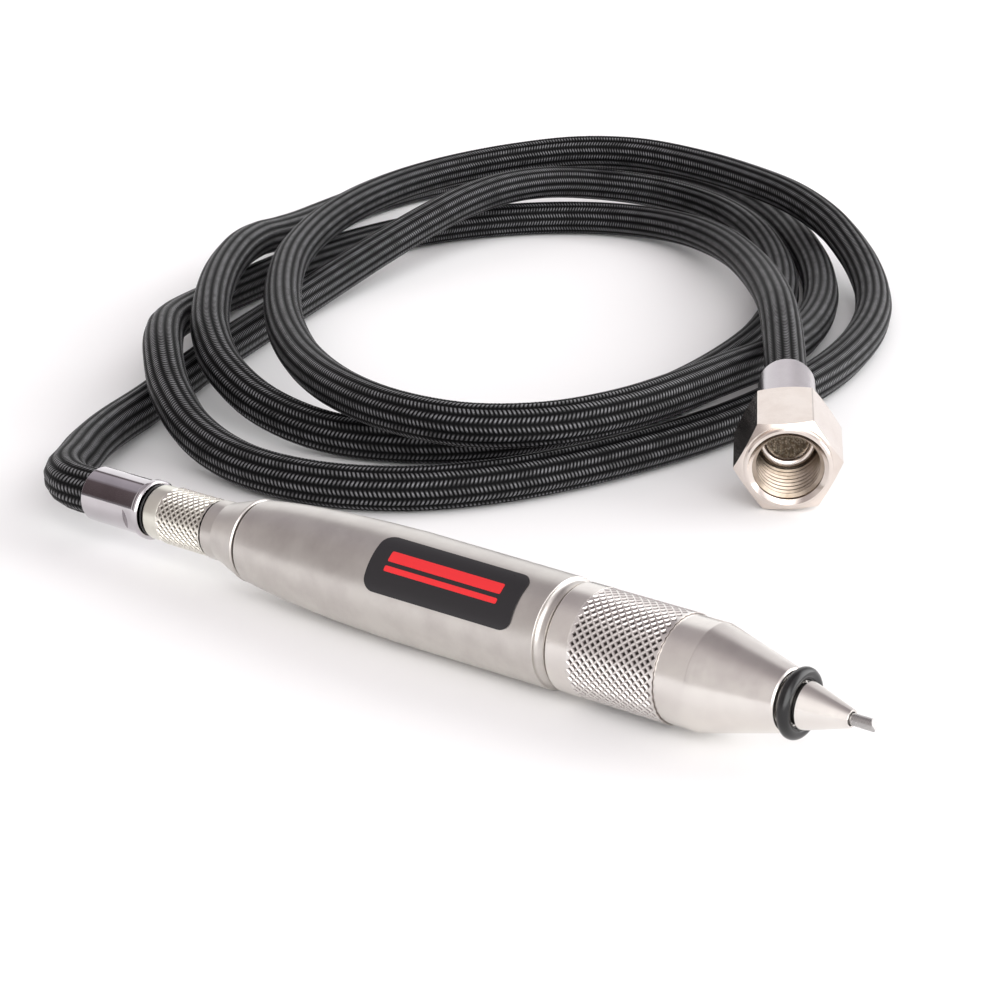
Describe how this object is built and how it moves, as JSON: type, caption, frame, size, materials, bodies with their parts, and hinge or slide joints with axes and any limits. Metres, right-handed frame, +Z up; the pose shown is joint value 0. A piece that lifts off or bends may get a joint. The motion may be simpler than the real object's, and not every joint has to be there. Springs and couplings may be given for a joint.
{
  "type": "air engraving pen",
  "caption": "Pneumatic engraving pen with a knurled grip, turning throttle ring, carbide point and a braided air hose ending in a swivel nut.",
  "frame": {"origin": "on the surface the pen lies on, under its axis, halfway along it", "axes": "+X along the pen towards its point, +Z up; the hose lies in loops on the +Y side"},
  "size_m": [0.3204, 0.3374, 0.0243],
  "materials": {
    "stainless": "satin, turned",
    "bright_chrome": "polished",
    "nickel": "bright nickel plate",
    "tool_steel": "ground",
    "brass": "machined",
    "carbide": "ground",
    "black_rubber": "semi-gloss",
    "black_braid": "woven, semi-matte",
    "gauze": "fine wire gauze"
  },
  "bodies": {
    "pen_body": {"barrel": "stainless", "rear_cap": "stainless", "front_grip": "stainless", "nose_bush": "stainless", "hose_ferrule": "bright_chrome", "nut_ferrule": "nickel", "return_spring": "tool_steel", "inlet_stem": "brass", "port_block": "brass", "cylinder_sleeve": "brass", "stylus_guide": "brass", "tailpiece": "brass", "throttle_o_ring_rear": "black_rubber", "throttle_o_ring_front": "black_rubber", "sleeve_o_ring_rear": "black_rubber", "sleeve_o_ring_front": "black_rubber", "nose_o_ring": "black_rubber", "ring_seal": "black_rubber", "hose": "black_braid", "inlet_filter": "gauze"},
    "throttle": {"throttle_ring": "stainless"},
    "piston": {"hammer_piston": "tool_steel"},
    "stylus": {"stylus": "tool_steel", "carbide_tip": "carbide"},
    "nut": {"swivel_nut": "nickel"}
  },
  "joints": [
    {"name": "throttle_turn", "type": "hinge", "parent": "pen_body", "child": "throttle", "pos_m": [-0.06175, 0, 0.01], "axis": [1, 0, 0], "range_deg": [0, 90]},
    {"name": "piston_stroke", "type": "slide", "parent": "pen_body", "child": "piston", "axis": [1, 0, 0], "range_m": [-0.012, 0.006]},
    {"name": "stylus_stroke", "type": "slide", "parent": "pen_body", "child": "stylus", "axis": [1, 0, 0], "range_m": [0, 0.0012], "stiffness_N_per_m": 1500, "springref_m": -0.0005, "deforming": ["return_spring"]},
    {"name": "nut_swivel", "type": "hinge", "parent": "pen_body", "child": "nut", "pos_m": [0.00433, 0.10247, 0.01114], "axis": [0.5441, -0.8251, -0.152], "continuous": true}
  ]
}
